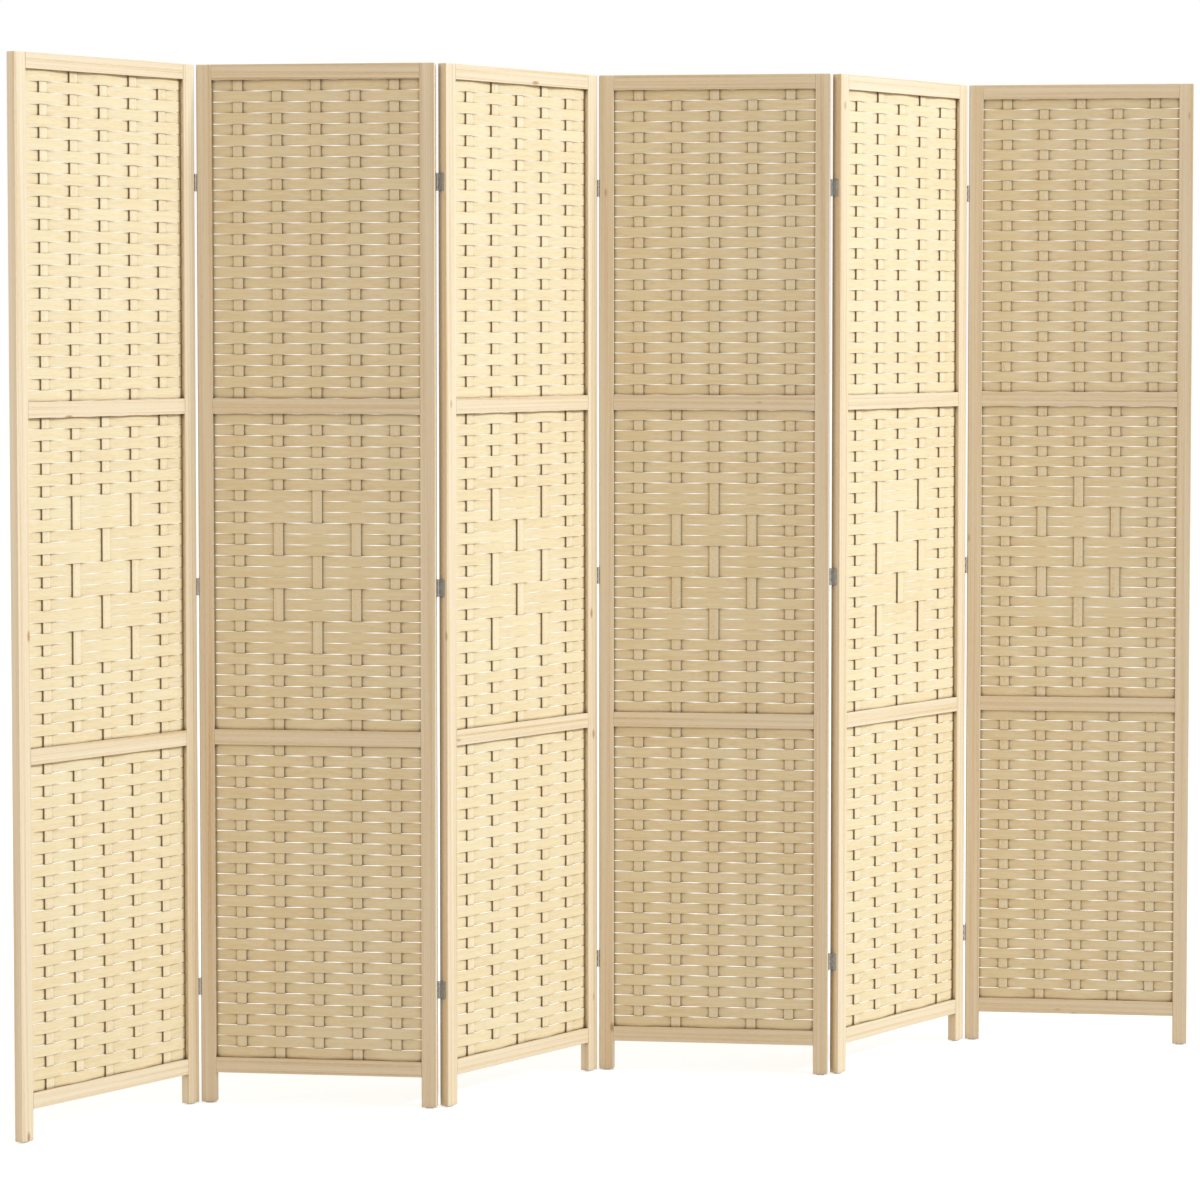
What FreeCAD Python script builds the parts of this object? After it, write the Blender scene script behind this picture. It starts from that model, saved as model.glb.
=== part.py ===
import FreeCAD, Part
import math
import os

# A free-standing folding privacy screen of six equal panels, in millimetres.
# Each panel is a pine frame of two stiles and four rails that holds three bays of
# flat slats woven over upright stakes. Small butt hinges join the panels, and every
# stile stands on a plug-in foot glide.
# The screen runs along X from panel 1 to panel 6, Y points to its back and Z up.
# The origin is on the floor, in the middle of the overall box.

# The screen as it stands
panel_count = 6
stand_angle_deg = 29.35  # each panel stands this far off the screen's mean line

# Panel frame
panel_width = 392.0
panel_thickness = 17.0
stile_length = 1698.0
stile_width = 25.0
stile_round = 1.5
leg_length = 49.0
rail_height = 25.0
rail_recess = 0.5  # a rail's faces lie this far inside the stiles' faces
rail_round = 0.8
bay_count = 3

# Grooves in the frame that hold the rail tongues and the ends of the weave
groove_depth = 7.0
groove_shoulder = 5.0  # the grooves stop this far short of the frame's outer corners
tongue_length = 6.5
weave_insert = 6.0
fit_clearance = 0.1

# Weave
stakes_per_bay = 5
stake_width = 16.0
stake_thickness = 3.0
stake_pitch = 64.5
slats_per_bay = 29
slat_thickness = 1.2
slat_gap = 0.8
slat_flat_margin = 1.0  # a slat lies flat this far past each side of a stake
slat_end_flat = 2.0  # and this far out of the stile's groove
motif_reach = 7  # rows above and below the middle row that the centre motif takes
motif_float = 3  # slats that each stake passes in one step of the motif

# Hinges
hinge_height = 28.0
hinge_end_distance = 191.0  # from a stile's end to the centre of its outer hinges
pin_edge_distance = 1.25  # from the pin's axis to the stile's edge face
pin_face_distance = 0.85  # from the pin's axis to the plane of the stile's face
knuckle_radius = 1.6
knuckle_gap = 0.2
knuckles_per_hinge = 5
pin_radius = 0.75
pin_clearance = 0.05
pin_head_radius = 1.2
pin_head_height = 0.5
leaf_width = 13.0
leaf_thickness = 0.8
leaf_clearance = 0.3

# Hinge screws
screw_spacing = 19.0
screw_radius = 1.0
screw_head_radius = 2.1
screw_length = 12.0
screw_hole_spare = 0.5
screw_clearance = 0.05
screw_slot_width = 0.5
screw_slot_depth = 0.5

# Foot glides
glide_radius = 7.0
glide_height = 2.0
glide_round = 0.6
glide_plug_radius = 2.5
glide_plug_length = 10.0
glide_hole_spare = 0.5
glide_clearance = 0.05

cut_overrun = 1.0  # every cutting tool runs this far past the face that it opens

# Worked out from the sizes above
stand_angle = math.radians(stand_angle_deg)
middle = panel_thickness / 2
half_width = panel_width / 2
stile_foot = glide_height
stile_top = stile_foot + stile_length
rail_length = panel_width - 2 * stile_width
rail_thickness = panel_thickness - 2 * rail_recess
rail_count = bay_count + 1
frame_foot = stile_foot + leg_length
bay_height = (stile_top - frame_foot - rail_count * rail_height) / bay_count
rail_step = bay_height + rail_height
groove_width = stake_thickness + 2 * fit_clearance
groove_foot = frame_foot + groove_shoulder
groove_top = stile_top - groove_shoulder
slat_step = bay_height / slats_per_bay
slat_height = slat_step - slat_gap
slat_swing = (stake_thickness + slat_thickness) / 2
slat_flat_half = stake_width / 2 + slat_flat_margin
middle_row = (slats_per_bay + 1) / 2
middle_stake = (stakes_per_bay + 1) / 2
knuckle_height = hinge_height / knuckles_per_hinge
bore_radius = pin_radius + pin_clearance
hinge_centres = [
    stile_foot + hinge_end_distance,
    stile_foot + stile_length / 2,
    stile_top - hinge_end_distance,
]
screw_reach = (knuckle_radius + leaf_clearance + leaf_width) / 2
screw_head_depth = screw_head_radius - screw_radius
UP = FreeCAD.Vector(0, 0, 1)
ALONG = FreeCAD.Vector(1, 0, 0)
ACROSS = FreeCAD.Vector(0, 1, 0)


def block(low, high):
    size = [high[i] - low[i] for i in range(3)]
    return Part.makeBox(*size, FreeCAD.Vector(*low))


def rounded_block(low, high, radius, along=None):
    """A box with its edges rounded, or only those that run along one direction."""
    box = block(low, high)
    edges = box.Edges
    if along is not None:
        edges = [e for e in edges if abs(e.tangentAt(e.FirstParameter).dot(along)) > 0.5]
    smallest = min(high[i] - low[i] for i in range(3))
    return box.makeFillet(min(radius, smallest * 0.45), edges)


def flipped(shapes, sideways, backwards):
    """Panel pieces mirrored left to right or front to back within the panel."""
    centre = FreeCAD.Vector(half_width, middle, 0)
    if sideways:
        shapes = [s.mirror(centre, ALONG) for s in shapes]
    if backwards:
        shapes = [s.mirror(centre, ACROSS) for s in shapes]
    return shapes


# Frame


def left_stile(hinged, hinge_at_back):
    body = rounded_block(
        (0, 0, stile_foot), (stile_width, panel_thickness, stile_top), stile_round
    )
    groove = block(
        (stile_width - groove_depth, middle - groove_width / 2, groove_foot),
        (stile_width + cut_overrun, middle + groove_width / 2, groove_top),
    )
    cuts = [groove, glide_hole(stile_width / 2)]
    if hinged:
        holes = flipped(screw_holes(), True, hinge_at_back)
        cuts += holes
    return body.cut(Part.makeCompound(cuts))


def right_stile(hinged, hinge_at_back):
    return flipped([left_stile(hinged, hinge_at_back)], True, False)[0]


def rail(number):
    """Rails are counted from the bottom one, which is number 0."""
    foot = frame_foot + number * rail_step
    top = foot + rail_height
    body = rounded_block(
        (stile_width, rail_recess, foot),
        (stile_width + rail_length, rail_recess + rail_thickness, top),
        rail_round,
        ALONG,
    )
    tongue = block(
        (
            stile_width - tongue_length,
            middle - groove_width / 2 + fit_clearance,
            max(foot, groove_foot + fit_clearance),
        ),
        (
            stile_width + rail_length + tongue_length,
            middle + groove_width / 2 - fit_clearance,
            min(top, groove_top - fit_clearance),
        ),
    )
    body = body.fuse(tongue).removeSplitter()
    grooves = []
    if number > 0:
        grooves.append(rail_groove(foot - cut_overrun, foot + groove_depth))
    if number < bay_count:
        grooves.append(rail_groove(top - groove_depth, top + cut_overrun))
    return body.cut(Part.makeCompound(grooves))


def rail_groove(low, high):
    reach = tongue_length + cut_overrun
    return block(
        (stile_width - reach, middle - groove_width / 2, low),
        (stile_width + rail_length + reach, middle + groove_width / 2, high),
    )


# Weave


def stake_centre(stake):
    return half_width + (stake - middle_stake) * stake_pitch


def bay_foot(bay):
    """Bays are counted from the bottom one, which is number 0."""
    return frame_foot + rail_height + bay * rail_step


def stake_in_front(bay, row, stake):
    """Whether a stake shows in front of a slat; rows count down from the bay's top."""
    from_middle = abs(row - middle_row)
    odd_row = row % 2 == 1
    odd_stake = stake % 2 == 1
    if bay == bay_count - 1:
        return odd_stake == odd_row
    outer_stake = stake in (1, stakes_per_bay)
    if bay > 0 and not outer_stake and from_middle <= motif_reach:
        step = int(row - middle_row + motif_reach) // motif_float
        return odd_stake == (step % 2 == 0)
    return odd_stake != odd_row


def stakes():
    pieces = []
    for bay in range(bay_count):
        low = bay_foot(bay) - weave_insert
        high = bay_foot(bay) + bay_height + weave_insert
        for stake in range(1, stakes_per_bay + 1):
            left = stake_centre(stake) - stake_width / 2
            front = middle - stake_thickness / 2
            corner = (left + stake_width, front + stake_thickness, high)
            pieces.append(block((left, front, low), corner))
    return pieces


def slat_path(sides):
    """The bends of a slat's mid-line; side 1 passes in front of a stake and -1 behind."""
    start = stile_width - weave_insert
    straight = stile_width + slat_end_flat
    path = [(start, middle), (straight, middle)]
    for stake, side in enumerate(sides, 1):
        y = middle - side * slat_swing
        if stake == 1 or sides[stake - 2] != side:
            path.append((stake_centre(stake) - slat_flat_half, y))
        if stake == stakes_per_bay or sides[stake] != side:
            path.append((stake_centre(stake) + slat_flat_half, y))
    path.append((panel_width - straight, middle))
    path.append((panel_width - start, middle))
    return path


def slat(sides):
    half = slat_thickness / 2
    path = slat_path(sides)
    outline = [FreeCAD.Vector(x, y - half, 0) for x, y in path]
    outline += [FreeCAD.Vector(x, y + half, 0) for x, y in reversed(path)]
    face = Part.Face(Part.makePolygon(outline + outline[:1]))
    return face.extrude(UP * slat_height)


def slats(turned_round):
    """All the slats of a panel; a panel that is turned round shows the weave's other side."""
    made = {}
    pieces = []
    for bay in range(bay_count):
        top = bay_foot(bay) + bay_height
        for row in range(1, slats_per_bay + 1):
            fronts = [stake_in_front(bay, row, s) for s in range(1, stakes_per_bay + 1)]
            sides = tuple(-1 if f != turned_round else 1 for f in fronts)
            if sides not in made:
                made[sides] = slat(sides)
            piece = made[sides].copy()
            piece.translate(UP * (top - row * slat_step + slat_gap / 2))
            pieces.append(piece)
    return pieces


# Hinges, made at the panel's right edge with the pin in front; other places are mirrored


def pin_place():
    return FreeCAD.Vector(panel_width + pin_edge_distance, -pin_face_distance, 0)


def upright_cylinder(radius, place, low, high):
    return Part.makeCylinder(radius, high - low, place + UP * low, UP)


def leaf(centre, has_inner_knuckles):
    """One leaf, with every second knuckle of the barrel: the outer ones, or those between."""
    pin = pin_place()
    foot = centre - hinge_height / 2
    leaf_end = pin.y + leaf_width
    outside = panel_width + leaf_thickness
    shape = block((panel_width, pin.y, foot), (outside, leaf_end, foot + hinge_height))
    for knuckle in range(knuckles_per_hinge):
        low = foot + knuckle * knuckle_height
        high = low + knuckle_height
        own = (knuckle % 2 == 1) == has_inner_knuckles
        low_gap = knuckle_gap / 2 if knuckle > 0 else 0
        high_gap = knuckle_gap / 2 if knuckle < knuckles_per_hinge - 1 else 0
        if own:
            barrel = upright_cylinder(knuckle_radius, pin, low + low_gap, high - high_gap)
            shape = shape.fuse(barrel)
        else:
            reach = knuckle_radius + leaf_clearance
            low_end = low - low_gap - (0 if knuckle else cut_overrun)
            high_end = high + high_gap
            if knuckle == knuckles_per_hinge - 1:
                high_end += cut_overrun
            shape = shape.cut(
                block(
                    (pin.x - reach, pin.y - reach, low_end),
                    (pin.x + reach, pin.y + reach, high_end),
                )
            )
    bore = upright_cylinder(
        bore_radius, pin, foot - cut_overrun, foot + hinge_height + cut_overrun
    )
    shape = shape.cut(bore).removeSplitter()
    return shape.cut(Part.makeCompound([screw_hole(z) for z in screw_heights(centre)]))


def screw_heights(centre):
    return [centre - screw_spacing / 2, centre + screw_spacing / 2]


def screw_head_place(z):
    return FreeCAD.Vector(panel_width + leaf_thickness, pin_place().y + screw_reach, z)


def screw_hole(z):
    """The countersunk hole of one screw, from outside the leaf into the stile."""
    place = screw_head_place(z)
    mouth = screw_head_radius + screw_clearance
    bore = screw_radius + screw_clearance
    depth = mouth - bore
    sink = Part.makeCone(mouth, bore, depth, place, -ALONG)
    shank = Part.makeCylinder(bore, screw_length + screw_hole_spare, place, -ALONG)
    entry = Part.makeCylinder(mouth, cut_overrun, place, ALONG)
    return sink.fuse([shank, entry])


def screw_holes():
    return [screw_hole(z) for centre in hinge_centres for z in screw_heights(centre)]


def screw(z):
    place = screw_head_place(z)
    head = Part.makeCone(screw_head_radius, screw_radius, screw_head_depth, place, -ALONG)
    shank = Part.makeCylinder(screw_radius, screw_length, place, -ALONG)
    reach = screw_head_radius - screw_slot_depth
    slot = screw_slot_width / 2
    floor = place.x - screw_slot_depth
    over = place.x + cut_overrun
    bars = [
        block((floor, place.y - reach, z - slot), (over, place.y + reach, z + slot)),
        block((floor, place.y - slot, z - reach), (over, place.y + slot, z + reach)),
    ]
    return head.fuse(shank).removeSplitter().cut(bars[0].fuse(bars[1]))


def hinge_pin(centre):
    pin = pin_place()
    low = centre - hinge_height / 2
    high = centre + hinge_height / 2
    shape = upright_cylinder(pin_radius, pin, low - pin_head_height, high + pin_head_height)
    for foot in (low - pin_head_height, high):
        shape = shape.fuse(upright_cylinder(pin_head_radius, pin, foot, foot + pin_head_height))
    return shape.removeSplitter()


# Feet


def glide_hole(x):
    place = FreeCAD.Vector(x, middle, stile_foot)
    depth = glide_plug_length + glide_hole_spare
    radius = glide_plug_radius + glide_clearance
    return upright_cylinder(radius, place, -cut_overrun, depth)


def foot_glide(x):
    place = FreeCAD.Vector(x, middle, 0)
    disc = upright_cylinder(glide_radius, place, 0, glide_height)
    rim = [e for e in disc.Edges if e.Closed and e.CenterOfMass.z < glide_height / 2]
    disc = disc.makeFillet(min(glide_round, glide_height * 0.45), rim)
    plug = upright_cylinder(glide_plug_radius, place, 0, glide_height + glide_plug_length)
    return disc.fuse(plug).removeSplitter()


# The panels along the screen


def hinge_at_back(joint):
    """Joints count from 1; the screen folds forward at odd ones and back at even ones."""
    return joint % 2 == 0


def panel_angle(panel):
    return stand_angle if panel % 2 == 1 else -stand_angle


def turned(x, y, angle):
    return (
        x * math.cos(angle) - y * math.sin(angle),
        x * math.sin(angle) + y * math.cos(angle),
    )


def pin_depth(joint):
    front = -pin_face_distance
    return panel_thickness - front if hinge_at_back(joint) else front


def chain():
    """The place of each panel's left front corner and of each joint's pin."""
    corners = {1: (0.0, 0.0)}
    pins = {}
    for panel in range(1, panel_count):
        x, y = turned(panel_width + pin_edge_distance, pin_depth(panel), panel_angle(panel))
        pins[panel] = (corners[panel][0] + x, corners[panel][1] + y)
        x, y = turned(-pin_edge_distance, pin_depth(panel), panel_angle(panel + 1))
        corners[panel + 1] = (pins[panel][0] - x, pins[panel][1] - y)
    outline = []
    for panel, (left, front) in corners.items():
        for x in (0, panel_width):
            for y in (0, panel_thickness):
                dx, dy = turned(x, y, panel_angle(panel))
                outline.append((left + dx, front + dy))
    centre = [
        (min(p[i] for p in outline) + max(p[i] for p in outline)) / 2 for i in range(2)
    ]
    span = [max(p[i] for p in outline) - min(p[i] for p in outline) for i in range(2)]
    corners = {k: (x - centre[0], y - centre[1]) for k, (x, y) in corners.items()}
    pins = {k: (x - centre[0], y - centre[1]) for k, (x, y) in pins.items()}
    return corners, pins, span


def panel_nodes(panel):
    """Every node of one panel, in the panel's own frame."""
    left_joint = panel - 1 if panel > 1 else None
    right_joint = panel if panel < panel_count else None
    left_back = left_joint is not None and hinge_at_back(left_joint)
    right_back = right_joint is not None and hinge_at_back(right_joint)
    rails = [rail(number) for number in range(rail_count)]
    leaves = []
    screws = []
    nodes = {}
    screw_row = [screw(z) for centre in hinge_centres for z in screw_heights(centre)]
    if left_joint is not None:
        leaves += flipped([leaf(z, True) for z in hinge_centres], True, left_back)
        screws += flipped(screw_row, True, left_back)
    if right_joint is not None:
        leaves += flipped([leaf(z, False) for z in hinge_centres], False, right_back)
        screws += flipped(screw_row, False, right_back)
        pins = flipped([hinge_pin(z) for z in hinge_centres], False, right_back)
        nodes[f"hinge_pins_{panel}_{panel + 1}"] = pins
    name = f"panel_{panel}_"
    nodes[name + "left_stile"] = [left_stile(left_joint is not None, left_back)]
    nodes[name + "right_stile"] = [right_stile(right_joint is not None, right_back)]
    nodes[name + "end_rails"] = [rails[0], rails[-1]]
    nodes[name + "middle_rails"] = rails[1:-1]
    nodes[name + "stakes"] = stakes()
    nodes[name + "slats"] = slats(panel % 2 == 1)
    nodes[name + "hinge_leaves"] = leaves
    nodes[name + "hinge_screws"] = screws
    feet = (stile_width / 2, panel_width - stile_width / 2)
    nodes[name + "foot_glides"] = [foot_glide(x) for x in feet]
    return nodes


def main():
    os.makedirs("parts", exist_ok=True)
    corners, pins, span = chain()
    solids = 0
    for panel in range(1, panel_count + 1):
        x, y = corners[panel]
        turn = FreeCAD.Rotation(UP, math.degrees(panel_angle(panel)))
        place = FreeCAD.Placement(FreeCAD.Vector(x, y, 0), turn)
        for node, shapes in panel_nodes(panel).items():
            shape = Part.makeCompound(shapes)
            shape.Placement = place
            shape.exportStep(f"parts/{node}.step")
            solids += len(shape.Solids)
            print(node, "solids", len(shape.Solids), "valid", shape.isValid())
    print("overall", round(span[0], 2), round(span[1], 2), stile_top)
    print("bay height", round(bay_height, 3), "slat height", round(slat_height, 3))
    for joint, (x, y) in pins.items():
        print("pin", joint, round(x, 4), round(y, 4), "back" if hinge_at_back(joint) else "front")
    for panel, (x, y) in corners.items():
        print("panel", panel, "corner", round(x, 4), round(y, 4))
    print("solids in all", solids)


main()
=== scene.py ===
import math
import random

import bmesh
import bpy
from mathutils import Matrix, Vector


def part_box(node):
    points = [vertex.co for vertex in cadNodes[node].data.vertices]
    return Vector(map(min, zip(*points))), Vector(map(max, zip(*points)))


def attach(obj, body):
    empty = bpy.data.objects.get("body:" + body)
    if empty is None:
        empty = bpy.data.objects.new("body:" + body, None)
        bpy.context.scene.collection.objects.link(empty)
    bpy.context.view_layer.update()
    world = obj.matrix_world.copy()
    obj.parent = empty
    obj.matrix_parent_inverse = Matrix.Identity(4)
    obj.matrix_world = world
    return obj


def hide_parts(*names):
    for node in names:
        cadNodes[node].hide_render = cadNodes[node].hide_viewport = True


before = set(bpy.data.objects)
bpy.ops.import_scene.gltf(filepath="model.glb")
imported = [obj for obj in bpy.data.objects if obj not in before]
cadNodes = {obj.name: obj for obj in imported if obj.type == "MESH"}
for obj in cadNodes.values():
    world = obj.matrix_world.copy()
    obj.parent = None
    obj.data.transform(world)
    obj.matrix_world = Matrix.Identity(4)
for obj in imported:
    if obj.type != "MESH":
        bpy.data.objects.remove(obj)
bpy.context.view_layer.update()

# A six-panel folding screen: pine frames with flat wood slats woven over upright stakes.
# All lengths are metres. Panels are counted from the left, seen from the front.

mm = 0.001
panelNumbers = [1, 2, 3, 4, 5, 6]
print("frame loaded:", len(cadNodes), "nodes")


# Where each panel stands, read from its two stiles

def stileCentres(number):
    boxes = [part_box(f"panel_{number}_{side}_stile") for side in ("left", "right")]
    return [(low + high) / 2 for low, high in boxes]


def panelTurn(number):
    left, right = stileCentres(number)
    return math.atan2(right.y - left.y, right.x - left.x)


def panelPlace(number):
    # from a panel's own frame: x along the panel from its middle, y to the back, z up from the floor
    left, right = stileCentres(number)
    middle = (left + right) / 2
    return Matrix.Translation((middle.x, middle.y, 0)) @ Matrix.Rotation(panelTurn(number), 4, "Z")


# Camera, set to the photo's level viewpoint a little left of the screen's own front

camera = {
    "spot": (-2.3671, -5.7370, 1.2878),
    "azimuth": 22.140,     # degrees to the right of the screen's back
    "tiltDown": 2.867,     # degrees below level
    "lens": 110.86,        # in millimetres, as the sensor's width is
    "sensorWidth": 36,
    "shiftY": -0.08,       # keeps the uprights nearly parallel, as in the photo
    "clipEnd": 200,        # past the floor's far edge
}


def addCamera():
    data = bpy.data.cameras.new("photoCamera")
    data.lens = camera["lens"]
    data.sensor_width = camera["sensorWidth"]
    data.shift_y = camera["shiftY"]
    data.clip_end = camera["clipEnd"]
    holder = bpy.data.objects.new("photoCamera", data)
    holder.location = camera["spot"]
    holder.rotation_euler = (math.radians(90 - camera["tiltDown"]), 0, math.radians(-camera["azimuth"]))
    bpy.context.scene.collection.objects.link(holder)
    bpy.context.scene.camera = holder


# Material helpers

def hexToLinear(code):
    channels = [int(code[i:i + 2], 16) / 255 for i in (1, 3, 5)]
    linear = [c / 12.92 if c <= 0.04045 else ((c + 0.055) / 1.055) ** 2.4 for c in channels]
    return (*linear, 1)


def addNode(tree, kind, inputs=None, stops=(), **settings):
    node = tree.nodes.new(kind)
    for name, value in settings.items():
        setattr(node, name, value)
    for name, value in (inputs or {}).items():
        if isinstance(value, bpy.types.NodeSocket):
            tree.links.new(value, node.inputs[name])
        else:
            node.inputs[name].default_value = value
    for number, (spot, code) in enumerate(stops):
        # a new colour ramp has two stops already
        elements = node.color_ramp.elements
        element = elements[number] if number < 2 else elements.new(spot)
        element.position = spot
        element.color = hexToLinear(code)
    return node


def newMaterial(name):
    material = bpy.data.materials.new(name)
    material.use_nodes = True
    material.node_tree.nodes.clear()
    return material


def setMaterial(piece, material):
    if not piece.material_slots:
        piece.data.materials.append(material)
    for holder in piece.material_slots:
        holder.material = material


# Light, floor and white surround

studio = {
    "aim": (0, 0, 0.85),
    # azimuths are degrees from the screen's front towards its right end, and a level is
    # the share of a full white that a lamp adds to a face square to it
    "key": {
        "azimuth": 61.2, "rise": 27, "distance": 15, "size": 1.4, "level": 0.69, "colour": "#dff1ff"},
    "leftFill": {
        "azimuth": -96, "rise": 8, "distance": 15, "size": 3.0, "level": 0.08, "colour": "#ffffff"},
    "surroundLevel": 0.72,
    "surroundColour": "#fffcf6",
    "floorSize": 120,
    "floorColour": "#c8c8c8",
    "floorWhiteness": 0.65,     # extra white that throws no light on the object
}


def addLamp(name):
    settings = studio[name]
    azimuth = math.radians(settings["azimuth"])
    rise = math.radians(settings["rise"])
    outward = math.cos(rise)
    direction = Vector((math.sin(azimuth) * outward, -math.cos(azimuth) * outward, math.sin(rise)))
    data = bpy.data.lights.new(name, "AREA")
    data.shape = "DISK"
    data.size = settings["size"]
    # the power at which a far disk lamp gives its level
    data.energy = settings["level"] * math.pi ** 2 * settings["distance"] ** 2
    data.color = hexToLinear(settings["colour"])[:3]
    lamp = bpy.data.objects.new(name, data)
    lamp.location = Vector(studio["aim"]) + direction * settings["distance"]
    lamp.rotation_euler = direction.to_track_quat("Z", "Y").to_euler()
    bpy.context.scene.collection.objects.link(lamp)


def seenDirectly(tree):
    # 1 for what the camera sees straight, in a gloss or through glass, and 0 for light that falls on things
    path = addNode(tree, "ShaderNodeLightPath").outputs
    gloss = addNode(tree, "ShaderNodeMath", {
        0: path["Is Camera Ray"], 1: path["Is Glossy Ray"]}, operation="MAXIMUM")
    both = addNode(tree, "ShaderNodeMath", {
        0: gloss.outputs[0], 1: path["Is Transmission Ray"]}, operation="MAXIMUM")
    return both.outputs[0]


def addSurround():
    world = bpy.data.worlds.new("whiteSurround")
    world.use_nodes = True
    bpy.context.scene.world = world
    tree = world.node_tree
    tree.nodes.clear()
    lighting = addNode(tree, "ShaderNodeBackground", {
        "Color": hexToLinear(studio["surroundColour"]), "Strength": studio["surroundLevel"]})
    shown = addNode(tree, "ShaderNodeBackground", {"Color": (1, 1, 1, 1), "Strength": 1})
    mix = addNode(tree, "ShaderNodeMixShader", {
        0: seenDirectly(tree), 1: lighting.outputs[0], 2: shown.outputs[0]})
    addNode(tree, "ShaderNodeOutputWorld", {"Surface": mix.outputs[0]})


def addFloor():
    shape = bmesh.new()
    bmesh.ops.create_grid(shape, x_segments=1, y_segments=1, size=studio["floorSize"] / 2)
    data = bpy.data.meshes.new("studioFloor")
    shape.to_mesh(data)
    shape.free()
    floor = bpy.data.objects.new("studioFloor", data)
    bpy.context.scene.collection.objects.link(floor)
    material = newMaterial("mattWhiteStudioFloor")
    tree = material.node_tree
    matt = addNode(tree, "ShaderNodeBsdfDiffuse", {"Color": hexToLinear(studio["floorColour"])})
    glow = addNode(tree, "ShaderNodeMath", {
        0: seenDirectly(tree), 1: studio["floorWhiteness"]}, operation="MULTIPLY")
    white = addNode(tree, "ShaderNodeEmission", {"Color": (1, 1, 1, 1), "Strength": glow.outputs[0]})
    total = addNode(tree, "ShaderNodeAddShader", {0: matt.outputs[0], 1: white.outputs[0]})
    addNode(tree, "ShaderNodeOutputMaterial", {"Surface": total.outputs[0]})
    setMaterial(floor, material)


# Wood materials

stilePine = {
    # Pine sawn square, planed and clear lacquered: pale cream with faint upright lines and
    # a few small knots.
    "ramp": [(0.0, "#fae6c6"), (0.4, "#f5dcb8"), (0.75, "#ebcc9f"), (1.0, "#d4ad7c")],
    "ringAcross": 5.0 * mm,
    "ringAlong": 700 * mm,
    "ringShare": 0.08,
    "lineAcross": 1.8 * mm,
    "lineAlong": 420 * mm,
    "lineShare": 0.46,
    "fleckAcross": 0.9 * mm,
    "fleckAlong": 10 * mm,
    "fleckShare": 0.16,
    "boardAcross": 9 * mm,      # broad streaks and patches of one tone
    "boardAlong": 900 * mm,
    "boardShare": 0.30,
    "grainSpan": (0.37, 0.69),  # the summed patterns that fill the colour ramp
    "roughness": (0.40, 0.52),
    "ior": 1.5,
    "bumpDepth": 0.05 * mm,
    # painted shade in the frame's corners and recesses
    "paintedShadeReach": 14 * mm,
    "paintedShadeOpen": 0.77,        # share of the sky that a spot still sees where its painted shade starts
    "paintedShadeFull": 0.38,        # and where it is full
    "paintedShadeColour": "#58400c",
    "knotAcross": 55 * mm,      # the usual distance from one knot to the next
    "knotAlong": 150 * mm,
    "knotColour": "#b27a45",
    "knotStrength": 0.75,
    "knotCore": 0.03,           # a knot's heart and its faded rim, as shares of that distance
    "knotRim": 0.075,
}

slatWood = {
    # Sliced poplar, left unfinished: a little yellower, with fine straight lines along the slat.
    "ramp": [(0.0, "#fdecc6"), (0.4, "#f9e3b9"), (0.75, "#f0d29f"), (1.0, "#dcb67c")],
    "ringAcross": 6.0 * mm,
    "ringAlong": 900 * mm,
    "ringShare": 0.05,
    "lineAcross": 1.7 * mm,     # lines and flecks are drawn coarser than real ones, so that they show
    "lineAlong": 190 * mm,
    "lineShare": 0.46,
    "fleckAcross": 1.4 * mm,
    "fleckAlong": 14 * mm,
    "fleckShare": 0.24,
    "boardAcross": 60 * mm,
    "boardAlong": 120 * mm,
    "boardShare": 0.14,
    "toneShare": 0.06,          # how far one slat's tone differs from another's
    "grainSpan": (0.17, 0.80),
    "roughness": (0.50, 0.62),
    "ior": 1.5,
    "bumpDepth": 0.05 * mm,
    # painted shade where slats cross stakes and meet the frame
    "paintedShadeReach": 7 * mm,
    "paintedShadeOpen": 0.83,
    "paintedShadeFull": 0.37,
    "paintedShadeColour": "#68450d",
}

stakeWood = {
    # The same wood sawn thicker: short upright flecks and a pored, speckled face.
    "ramp": [(0.0, "#fdecc7"), (0.4, "#f9e2ba"), (0.75, "#f0d3a3"), (1.0, "#d7b17c")],
    "ringAcross": 6.0 * mm,
    "ringAlong": 900 * mm,
    "ringShare": 0.04,
    "lineAcross": 1.2 * mm,
    "lineAlong": 60 * mm,
    "lineShare": 0.24,
    "fleckAcross": 1.8 * mm,    # drawn coarser than real pores, so that they show
    "fleckAlong": 3.2 * mm,
    "fleckShare": 0.46,
    "boardAcross": 60 * mm,
    "boardAlong": 120 * mm,
    "boardShare": 0.12,
    "toneShare": 0.06,
    "grainSpan": (0.33, 0.70),
    "roughness": (0.50, 0.62),
    "ior": 1.5,
    "bumpDepth": 0.05 * mm,
    # painted shade where stakes cross slats, and on their sides
    "paintedShadeReach": 7 * mm,
    "paintedShadeOpen": 0.89,
    "paintedShadeFull": 0.46,
    "paintedShadeColour": "#68450d",
    "sideShade": 0.42,          # how far the sides take that colour, as painted shade on a stake's sides
}

grainNoise = {
    # How even or ragged each pattern of a board's grain is. Its size comes from the wood.
    "ring": {"Scale": 0.314, "Distortion": 5.0, "Detail": 2.0, "Detail Scale": 0.6, "Detail Roughness": 0.5},
    "line": {"Scale": 1, "Detail": 3, "Roughness": 0.6},
    "fleck": {"Scale": 1, "Detail": 1, "Roughness": 0.5},
    "board": {"Scale": 1, "Detail": 1, "Roughness": 0.4},
}

paintedShadeMix = {
    # Painted shade: colour darkened brown wherever strips cross or a piece stands against another.
    "strength": 0.88,
    "samples": 6,
    "floorClear": (2 * mm, 14 * mm),    # none of it where the feet meet the floor
}


def grainScale(look, pattern, grainUpright):
    # a pattern's scale along x, y and z, from its length along the grain and its width across
    along = look[pattern + "Along"]
    across = look[pattern + "Across"]
    size = (across, across, along) if grainUpright else (along, across, across)
    return [1 / s for s in size]


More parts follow.
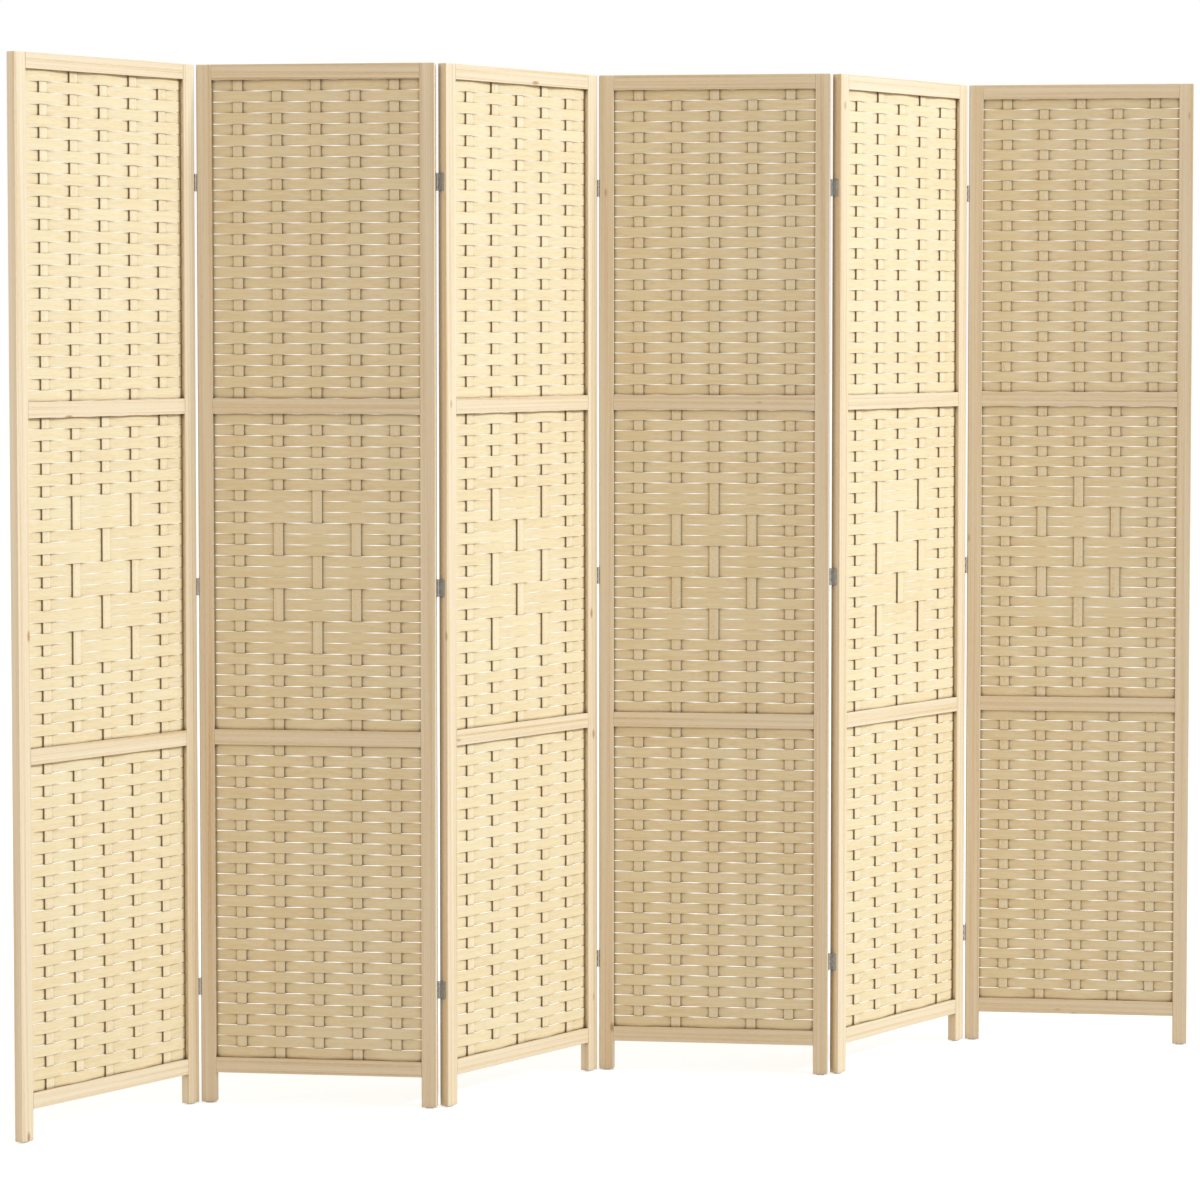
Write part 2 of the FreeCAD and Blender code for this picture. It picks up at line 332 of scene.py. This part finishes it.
def knotted(tree, own, colour, look, grainUpright):
    # small brown knots that fade into the grain round them
    spots = addNode(tree, "ShaderNodeMapping", {
        "Vector": own, "Scale": grainScale(look, "knot", grainUpright)})
    cells = addNode(tree, "ShaderNodeTexVoronoi", {"Vector": spots.outputs[0], "Scale": 1})
    depth = addNode(tree, "ShaderNodeMapRange", {
        "Value": cells.outputs["Distance"], "From Min": look["knotCore"], "From Max": look["knotRim"],
        "To Min": look["knotStrength"], "To Max": 0.0})
    mix = addNode(tree, "ShaderNodeMix", {
        "Factor": depth.outputs[0], "A": colour, "B": hexToLinear(look["knotColour"])}, data_type="RGBA")
    return mix.outputs["Result"]


def paintSideShade(tree, colour, look):
    # a strip's own colour, with painted shade on its sides
    side = addNode(tree, "ShaderNodeAttribute", attribute_name="paintedShadeSide")
    share = addNode(tree, "ShaderNodeMath", {
        0: side.outputs["Fac"], 1: look["sideShade"]}, operation="MULTIPLY")
    mix = addNode(tree, "ShaderNodeMix", {
        "Factor": share.outputs[0], "A": colour, "B": hexToLinear(look["paintedShadeColour"])}, data_type="RGBA")
    return mix.outputs["Result"]


def paintedShade(tree, place, colour, look):
    # the piece's own colour, with painted shade where little of the sky can be seen
    sky = addNode(tree, "ShaderNodeAmbientOcclusion", {
        "Distance": look["paintedShadeReach"]}, samples=paintedShadeMix["samples"])
    depth = addNode(tree, "ShaderNodeMapRange", {
        "Value": sky.outputs["AO"], "From Min": look["paintedShadeFull"], "From Max": look["paintedShadeOpen"],
        "To Min": paintedShadeMix["strength"], "To Max": 0.0})
    height = addNode(tree, "ShaderNodeSeparateXYZ", {"Vector": place}).outputs["Z"]
    clear = addNode(tree, "ShaderNodeMapRange", {
        "Value": height, "From Min": paintedShadeMix["floorClear"][0], "From Max": paintedShadeMix["floorClear"][1]})
    share = addNode(tree, "ShaderNodeMath", {
        0: depth.outputs[0], 1: clear.outputs[0]}, operation="MULTIPLY")
    mix = addNode(tree, "ShaderNodeMix", {
        "Factor": share.outputs[0], "A": colour, "B": hexToLinear(look["paintedShadeColour"])}, data_type="RGBA")
    return mix.outputs["Result"]


def woodMaterial(name, look, grainUpright, turn):
    material = newMaterial(name)
    tree = material.node_tree
    place = addNode(tree, "ShaderNodeTexCoord").outputs["Object"]
    # turned back to the panel's own directions, so that a board's lines run along it
    own = addNode(tree, "ShaderNodeMapping", {"Vector": place, "Rotation": (0, 0, -turn)}).outputs[0]
    grain = {}
    for pattern, noise in grainNoise.items():
        spots = addNode(tree, "ShaderNodeMapping", {
            "Vector": own, "Scale": grainScale(look, pattern, grainUpright)})
        inputs = {"Vector": spots.outputs[0], **noise}
        if pattern == "ring":
            node = addNode(tree, "ShaderNodeTexWave", inputs, bands_direction="DIAGONAL")
        else:
            node = addNode(tree, "ShaderNodeTexNoise", inputs)
        grain[pattern] = node.outputs["Fac"]
    lines, flecks = grain["line"], grain["fleck"]
    if "toneShare" in look:
        grain["tone"] = addNode(tree, "ShaderNodeAttribute", attribute_name="stripTone").outputs["Fac"]
    total = 0.0
    for pattern, value in grain.items():
        total = addNode(tree, "ShaderNodeMath", {
            0: value, 1: look[pattern + "Share"], 2: total}, operation="MULTIPLY_ADD").outputs[0]
    spread = addNode(tree, "ShaderNodeMapRange", {
        "Value": total, "From Min": look["grainSpan"][0], "From Max": look["grainSpan"][1]})
    colour = addNode(tree, "ShaderNodeValToRGB", {"Fac": spread.outputs[0]}, look["ramp"]).outputs["Color"]
    if "knotColour" in look:
        colour = knotted(tree, own, colour, look, grainUpright)
    # painted shade on the stakes' sides
    if "sideShade" in look:
        colour = paintSideShade(tree, colour, look)
    ridges = addNode(tree, "ShaderNodeMath", {0: lines, 1: flecks}, operation="ADD")
    bump = addNode(tree, "ShaderNodeBump", {
        "Height": ridges.outputs[0], "Distance": look["bumpDepth"], "Strength": 1})
    rough = addNode(tree, "ShaderNodeMapRange", {
        "Value": flecks, "To Min": look["roughness"][0], "To Max": look["roughness"][1]})
    # the base colour carries painted shade where little sky is seen
    shader = addNode(tree, "ShaderNodeBsdfPrincipled", {
        "Base Color": paintedShade(tree, place, colour, look), "Roughness": rough.outputs[0],
        "IOR": look["ior"], "Normal": bump.outputs[0]})
    addNode(tree, "ShaderNodeOutputMaterial", {"Surface": shader.outputs[0]})
    return material


# Hinge metal and glide plastic

hingeMetal = {
    # Pressed steel, zinc plated and dulled: grey, with the faint smears of the plating.
    "ramp": [(0.3, "#a29e96"), (0.7, "#cecac3")],
    "smearSize": 3.0 * mm,
    "smearNoise": {"Detail": 4, "Roughness": 0.6},
    "roughness": (0.26, 0.42),
    # painted shade where the hinge stands close against the wood
    "paintedShadeReach": 5 * mm,
    "paintedShadeOpen": 0.28,
    "paintedShadeFull": 0.02,
    "paintedShadeColour": "#26241f",
}

glidePlastic = {
    # Injection-moulded polyethylene: milky pale grey with a soft sheen and a fine moulded grain.
    "ramp": [(0.0, "#e4e1d9"), (1.0, "#f1efe9")],
    "grainSize": 0.6 * mm,
    "grainDetail": 2,
    "roughness": 0.42,
    "ior": 1.51,
    "bumpDepth": 0.02 * mm,
}


def zincPlatedSteel():
    material = newMaterial("zincPlatedSteel")
    tree = material.node_tree
    place = addNode(tree, "ShaderNodeTexCoord").outputs["Object"]
    smears = addNode(tree, "ShaderNodeTexNoise", {
        "Vector": place, "Scale": 1 / hingeMetal["smearSize"], **hingeMetal["smearNoise"]}).outputs["Fac"]
    plating = addNode(tree, "ShaderNodeValToRGB", {"Fac": smears}, hingeMetal["ramp"])
    rough = addNode(tree, "ShaderNodeMapRange", {
        "Value": smears, "To Min": hingeMetal["roughness"][0], "To Max": hingeMetal["roughness"][1]})
    # the plating's colour carries painted shade where little sky is seen
    shader = addNode(tree, "ShaderNodeBsdfPrincipled", {
        "Base Color": paintedShade(tree, place, plating.outputs["Color"], hingeMetal),
        "Metallic": 1.0, "Roughness": rough.outputs[0]})
    addNode(tree, "ShaderNodeOutputMaterial", {"Surface": shader.outputs[0]})
    return material


def mouldedPolyethylene():
    material = newMaterial("mouldedPolyethylene")
    tree = material.node_tree
    place = addNode(tree, "ShaderNodeTexCoord").outputs["Object"]
    grain = addNode(tree, "ShaderNodeTexNoise", {
        "Vector": place, "Scale": 1 / glidePlastic["grainSize"], "Detail": glidePlastic["grainDetail"],
    }).outputs["Fac"]
    milky = addNode(tree, "ShaderNodeValToRGB", {"Fac": grain}, glidePlastic["ramp"])
    bump = addNode(tree, "ShaderNodeBump", {
        "Height": grain, "Distance": glidePlastic["bumpDepth"], "Strength": 1})
    shader = addNode(tree, "ShaderNodeBsdfPrincipled", {
        "Base Color": milky.outputs["Color"], "Roughness": glidePlastic["roughness"],
        "IOR": glidePlastic["ior"], "Normal": bump.outputs[0]})
    addNode(tree, "ShaderNodeOutputMaterial", {"Surface": shader.outputs[0]})
    return material


# Weave

weave = {
    "panelWidth": 392 * mm,
    "stileWidth": 25 * mm,
    "railHeight": 25 * mm,
    "bays": 3,
    "stakesPerBay": 5,
    "stakePitch": 64.5 * mm,
    "stakeWidth": 16 * mm,
    "stakeThickness": 3 * mm,
    "stakeEdge": 0.25 * mm,      # rounding along a stake's edges
    "stakeEdgeSegments": 2,
    "slatsPerBay": 29,
    "slatThickness": 1.2 * mm,
    "gapAtStake": 0.2 * mm,      # the gap between two slats nearly closes where they cross a stake
    "gapBetween": 1.45 * mm,     # and is widest half way to the next
    "crestFlat": 9.0 * mm,       # half of the stretch that lies flat against a stake
    "hiddenEnd": 3 * mm,         # how far ends run into the grooves of the frame
    "motifReach": 7,             # rows from a bay's middle row to the first and last of its motif
    "motifFloat": 3,             # rows that a stake of the motif shows or hides for
    "unevenHeight": 0.06 * mm,   # how much slats differ in height, in place, end to end and in lean
    "unevenPlace": 0.05 * mm,
    "unevenTilt": 0.08 * mm,
    "unevenLean": 0.30 * mm,
    "sharpFrom": 30,             # degrees between two faces from which their edge stays sharp
    "slatSeed": 11,
    "stakeSeed": 77,
}
stakeNumbers = range(1, weave["stakesPerBay"] + 1)


def bayFeet():
    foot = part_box("panel_1_end_rails")[0].z
    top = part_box("panel_1_end_rails")[1].z
    rails = (weave["bays"] + 1) * weave["railHeight"]
    height = (top - foot - rails) / weave["bays"]
    step = height + weave["railHeight"]
    return [foot + weave["railHeight"] + bay * step for bay in range(weave["bays"])], height


def stakePlace(stake):
    return (stake - (weave["stakesPerBay"] + 1) / 2) * weave["stakePitch"]


def stakeInFront(bay, row, stake):
    # bays count up from the bottom one, rows down from a bay's top; for panels 2, 4 and 6
    middleRow = (weave["slatsPerBay"] + 1) / 2
    oddRow = row % 2 == 1
    oddStake = stake % 2 == 1
    if bay == weave["bays"] - 1:
        return oddStake == oddRow
    outerStake = stake in (1, weave["stakesPerBay"])
    if bay > 0 and not outerStake and abs(row - middleRow) <= weave["motifReach"]:
        step = int(row - middleRow + weave["motifReach"]) // weave["motifFloat"]
        return oddStake == (step % 2 == 0)
    return oddStake != oddRow


def slatStations(sides, step):
    # how far along the panel, how far back and how high a slat is at each of its bends:
    # flat at each stake, straight between them, and a little narrower half way
    swing = (weave["stakeThickness"] + weave["slatThickness"]) / 2
    end = weave["panelWidth"] / 2 - weave["stileWidth"] + weave["hiddenEnd"]
    highest = step - weave["gapAtStake"]
    lowest = step - weave["gapBetween"]
    stations = [(-end, 0.0, lowest)]
    for stake, side in enumerate(sides, 1):
        if stake > 1:
            middle = (stakePlace(stake - 1) + stakePlace(stake)) / 2
            stations.append((middle, -(sides[stake - 2] + side) / 2 * swing, lowest))
        for edge in (-weave["crestFlat"], weave["crestFlat"]):
            stations.append((stakePlace(stake) + edge, -side * swing, highest))
    stations.append((end, 0.0, lowest))
    return stations


def slatBlank(sides, step):
    # one slat round its own middle height: a grid bent to its stations, pulled back by its thickness
    stations = slatStations(sides, step)
    blank = bmesh.new()
    bmesh.ops.create_grid(blank, x_segments=len(stations) - 1, y_segments=1, size=1)
    for vertex in blank.verts:
        x, y, high = stations[round((vertex.co.x + 1) / 2 * (len(stations) - 1))]
        vertex.co = (x, y - weave["slatThickness"] / 2, math.copysign(high / 2, vertex.co.y))
    pulled = bmesh.ops.extrude_face_region(blank, geom=blank.faces[:], use_keep_orig=True)["geom"]
    made = [v for v in pulled if isinstance(v, bmesh.types.BMVert)]
    bmesh.ops.translate(blank, verts=made, vec=(0, weave["slatThickness"], 0))
    data = bpy.data.meshes.new("slatBlank")
    blank.to_mesh(data)
    blank.free()
    return data


def weaveObject(name, shape, number, material, node):
    bmesh.ops.recalc_face_normals(shape, faces=shape.faces[:])
    bmesh.ops.transform(shape, matrix=panelPlace(number), verts=shape.verts[:])
    for face in shape.faces:
        face.smooth = True
    for edge in shape.edges:
        edge.smooth = edge.calc_face_angle(0) < math.radians(weave["sharpFrom"])
    data = bpy.data.meshes.new(name)
    shape.to_mesh(data)
    shape.free()
    piece = bpy.data.objects.new(name, data)
    bpy.context.scene.collection.objects.link(piece)
    setMaterial(piece, material)
    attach(piece, f"panel_{number}")
    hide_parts(node)


def addSlats(number, material):
    dice = random.Random(weave["slatSeed"] + number)
    feet, bayHeight = bayFeet()
    step = bayHeight / weave["slatsPerBay"]
    turnedRound = number % 2 == 1
    blanks = {}
    shape = bmesh.new()
    tone = shape.verts.layers.float.new("stripTone")
    for bay, bayFoot in enumerate(feet):
        for row in range(1, weave["slatsPerBay"] + 1):
            fronts = [stakeInFront(bay, row, stake) for stake in stakeNumbers]
            sides = tuple(-1 if front != turnedRound else 1 for front in fronts)
            if sides not in blanks:
                blanks[sides] = slatBlank(sides, step)
            before = len(shape.verts)
            shape.from_mesh(blanks[sides])
            shape.verts.ensure_lookup_table()
            made = shape.verts[before:]
            stretch = 1 + dice.uniform(-1, 1) * weave["unevenHeight"] / step
            middle = bayFoot + bayHeight - (row - 0.5) * step
            middle += dice.uniform(-1, 1) * weave["unevenPlace"]
            rise = dice.uniform(-1, 1) * weave["unevenTilt"] / weave["panelWidth"]
            lean = dice.uniform(-1, 1) * weave["unevenLean"] / step
            place = Matrix(((1, 0, 0, 0), (0, 1, lean, 0), (rise, 0, stretch, middle), (0, 0, 0, 1)))
            bmesh.ops.transform(shape, matrix=place, verts=made)
            value = dice.uniform(0, 1)
            for vertex in made:
                vertex[tone] = value
    for data in blanks.values():
        bpy.data.meshes.remove(data)
    weaveObject(f"woven_slats_{number}", shape, number, material, f"panel_{number}_slats")


def addStakes(number, material):
    dice = random.Random(weave["stakeSeed"] + number)
    feet, bayHeight = bayFeet()
    shape = bmesh.new()
    tone = shape.verts.layers.float.new("stripTone")
    length = bayHeight + 2 * weave["hiddenEnd"]
    for bayFoot in feet:
        for stake in stakeNumbers:
            made = bmesh.ops.create_cube(shape, size=1)["verts"]
            size = (weave["stakeWidth"], weave["stakeThickness"], length)
            bmesh.ops.scale(shape, verts=made, vec=size)
            bmesh.ops.translate(shape, verts=made, vec=(stakePlace(stake), 0, bayFoot + bayHeight / 2))
            value = dice.uniform(0, 1)
            for vertex in made:
                vertex[tone] = value
    upright = [e for e in shape.edges if abs(e.verts[0].co.z - e.verts[1].co.z) > length / 2]
    bmesh.ops.bevel(shape, geom=upright, offset=weave["stakeEdge"], offset_type="OFFSET", affect="EDGES",
                    segments=weave["stakeEdgeSegments"], profile=0.5, material=-1)
    # marks the stakes' sides, which take painted shade
    shadedSide = shape.verts.layers.float.new("paintedShadeSide")
    sideStart = (weave["stakeWidth"] - weave["stakeEdge"]) / 2
    for vertex in shape.verts:
        fromMiddle = min(abs(vertex.co.x - stakePlace(stake)) for stake in stakeNumbers)
        vertex[shadedSide] = 1.0 if fromMiddle > sideStart else 0.0
    weaveObject(f"upright_stakes_{number}", shape, number, material, f"panel_{number}_stakes")


# Build

addCamera()
for lampName in ("key", "leftFill"):
    addLamp(lampName)
addSurround()
addFloor()
print("camera, light and floor ready")

uprightPine = woodMaterial("planedPineUpright", stilePine, True, 0)
steel = zincPlatedSteel()
plastic = mouldedPolyethylene()
for number in panelNumbers:
    turn = panelTurn(number)
    railPine = woodMaterial(f"planedPineAlong{number}", stilePine, False, turn)
    finishes = {
        "left_stile": uprightPine,
        "right_stile": uprightPine,
        "end_rails": railPine,
        "middle_rails": railPine,
        "hinge_leaves": steel,
        "hinge_screws": steel,
        "foot_glides": plastic,
    }
    for part, finish in finishes.items():
        setMaterial(cadNodes[f"panel_{number}_{part}"], finish)
    addSlats(number, woodMaterial(f"slicedPoplarAlong{number}", slatWood, False, turn))
    addStakes(number, woodMaterial(f"sawnPoplarUpright{number}", stakeWood, True, turn))
    print("panel", number, "dressed")
for left, right in zip(panelNumbers, panelNumbers[1:]):
    setMaterial(cadNodes[f"hinge_pins_{left}_{right}"], steel)
print("hinge pins dressed")

bpy.context.scene.view_settings.view_transform = "Standard"

print("done")
